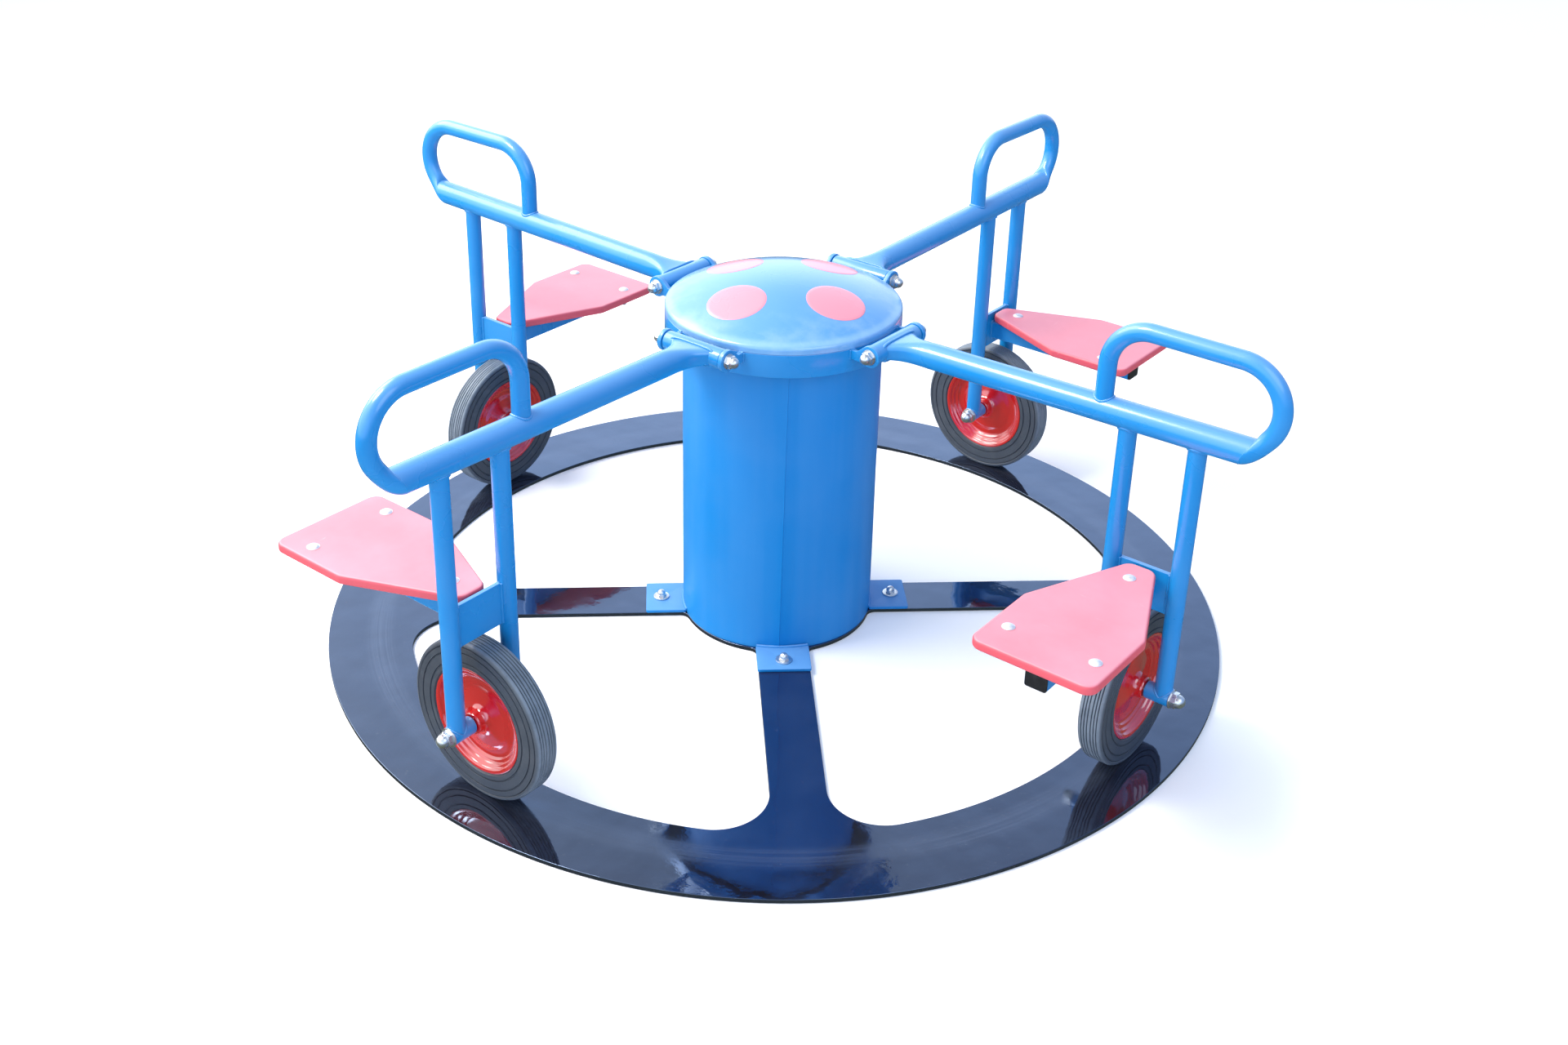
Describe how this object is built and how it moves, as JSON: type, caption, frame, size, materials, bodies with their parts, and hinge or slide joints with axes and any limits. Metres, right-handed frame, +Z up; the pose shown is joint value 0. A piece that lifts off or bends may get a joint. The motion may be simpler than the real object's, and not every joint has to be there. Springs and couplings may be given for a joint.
{
  "type": "playground merry-go-round",
  "caption": "Playground merry-go-round: seats on hinged arms, each with a grab handle and a wheel, turn round a pedestal on a flat ring track.",
  "frame": {"origin": "on the ground, under the track plate, on the axis of the spindle", "axes": "+Z up along the spindle; arm 1 lies along +X and arms 2 to 4 follow counter-clockwise seen from above; the seats trail their arms, so riders face counter-clockwise"},
  "size_m": [2.0136, 2.0136, 0.836],
  "materials": {
    "blue_paint": "gloss, azure blue powder coat",
    "black_paint": "gloss, near-black paint",
    "red_paint": "gloss, red powder coat",
    "seat_board": "satin, sun-faded red board",
    "rubber": "matt, solid black rubber",
    "zinc": "bright, zinc-plated",
    "steel": "machined, oiled",
    "black_plastic": "matt, moulded"
  },
  "bodies": {
    "base": {"track_plate": "black_paint", "pedestal_drum": "blue_paint", "spindle": "steel", "foot_bolt_1": "zinc", "foot_bolt_2": "zinc", "foot_bolt_3": "zinc", "foot_bolt_4": "zinc"},
    "head": {"lower_bearing": "steel", "upper_bearing": "steel", "head_hub": "steel", "head_ring": "blue_paint", "dome_lid": "blue_paint", "pivot_pin_1": "zinc", "pivot_pin_2": "zinc", "pivot_pin_3": "zinc", "pivot_pin_4": "zinc"},
    "arm_1": {"swing_arm_1": "blue_paint", "grab_handle_1": "blue_paint", "inner_leg_1": "blue_paint", "outer_leg_1": "blue_paint", "bridge_plate_1": "blue_paint", "seat_bearer_1": "blue_paint", "bearer_plug_1": "black_plastic", "seat_board_1": "seat_board", "wheel_axle_1": "zinc"},
    "arm_2": {"swing_arm_2": "blue_paint", "grab_handle_2": "blue_paint", "inner_leg_2": "blue_paint", "outer_leg_2": "blue_paint", "bridge_plate_2": "blue_paint", "seat_bearer_2": "blue_paint", "bearer_plug_2": "black_plastic", "seat_board_2": "seat_board", "wheel_axle_2": "zinc"},
    "arm_3": {"swing_arm_3": "blue_paint", "grab_handle_3": "blue_paint", "inner_leg_3": "blue_paint", "outer_leg_3": "blue_paint", "bridge_plate_3": "blue_paint", "seat_bearer_3": "blue_paint", "bearer_plug_3": "black_plastic", "seat_board_3": "seat_board", "wheel_axle_3": "zinc"},
    "arm_4": {"swing_arm_4": "blue_paint", "grab_handle_4": "blue_paint", "inner_leg_4": "blue_paint", "outer_leg_4": "blue_paint", "bridge_plate_4": "blue_paint", "seat_bearer_4": "blue_paint", "bearer_plug_4": "black_plastic", "seat_board_4": "seat_board", "wheel_axle_4": "zinc"},
    "wheel_1": {"tyre_1": "rubber", "wheel_rim_1": "red_paint"},
    "wheel_2": {"tyre_2": "rubber", "wheel_rim_2": "red_paint"},
    "wheel_3": {"tyre_3": "rubber", "wheel_rim_3": "red_paint"},
    "wheel_4": {"tyre_4": "rubber", "wheel_rim_4": "red_paint"}
  },
  "joints": [
    {"name": "head_spin", "type": "hinge", "parent": "base", "child": "head", "pos_m": [0, 0, 0], "axis": [0, 0, 1], "continuous": true},
    {"name": "arm_1_pivot", "type": "hinge", "parent": "head", "child": "arm_1", "pos_m": [0.2545, 0, 0.653], "axis": [0, -1, 0], "range_deg": [0, 30]},
    {"name": "arm_2_pivot", "type": "hinge", "parent": "head", "child": "arm_2", "pos_m": [0, 0.2545, 0.653], "axis": [1, 0, 0], "range_deg": [0, 30]},
    {"name": "arm_3_pivot", "type": "hinge", "parent": "head", "child": "arm_3", "pos_m": [-0.2545, 0, 0.653], "axis": [0, 1, 0], "range_deg": [0, 30]},
    {"name": "arm_4_pivot", "type": "hinge", "parent": "head", "child": "arm_4", "pos_m": [0, -0.2545, 0.653], "axis": [-1, 0, 0], "range_deg": [0, 30]},
    {"name": "wheel_1_spin", "type": "hinge", "parent": "arm_1", "child": "wheel_1", "pos_m": [0.797, 0, 0.1583], "axis": [1, 0, 0], "continuous": true},
    {"name": "wheel_2_spin", "type": "hinge", "parent": "arm_2", "child": "wheel_2", "pos_m": [0, 0.797, 0.1583], "axis": [0, 1, 0], "continuous": true},
    {"name": "wheel_3_spin", "type": "hinge", "parent": "arm_3", "child": "wheel_3", "pos_m": [-0.797, 0, 0.1583], "axis": [-1, 0, 0], "continuous": true},
    {"name": "wheel_4_spin", "type": "hinge", "parent": "arm_4", "child": "wheel_4", "pos_m": [0, -0.797, 0.1583], "axis": [0, -1, 0], "continuous": true}
  ],
  "couplings": [
    {"joint": "wheel_1_spin", "follows": "head_spin", "ratio": -5.3133},
    {"joint": "wheel_2_spin", "follows": "head_spin", "ratio": -5.3133},
    {"joint": "wheel_3_spin", "follows": "head_spin", "ratio": -5.3133},
    {"joint": "wheel_4_spin", "follows": "head_spin", "ratio": -5.3133}
  ]
}
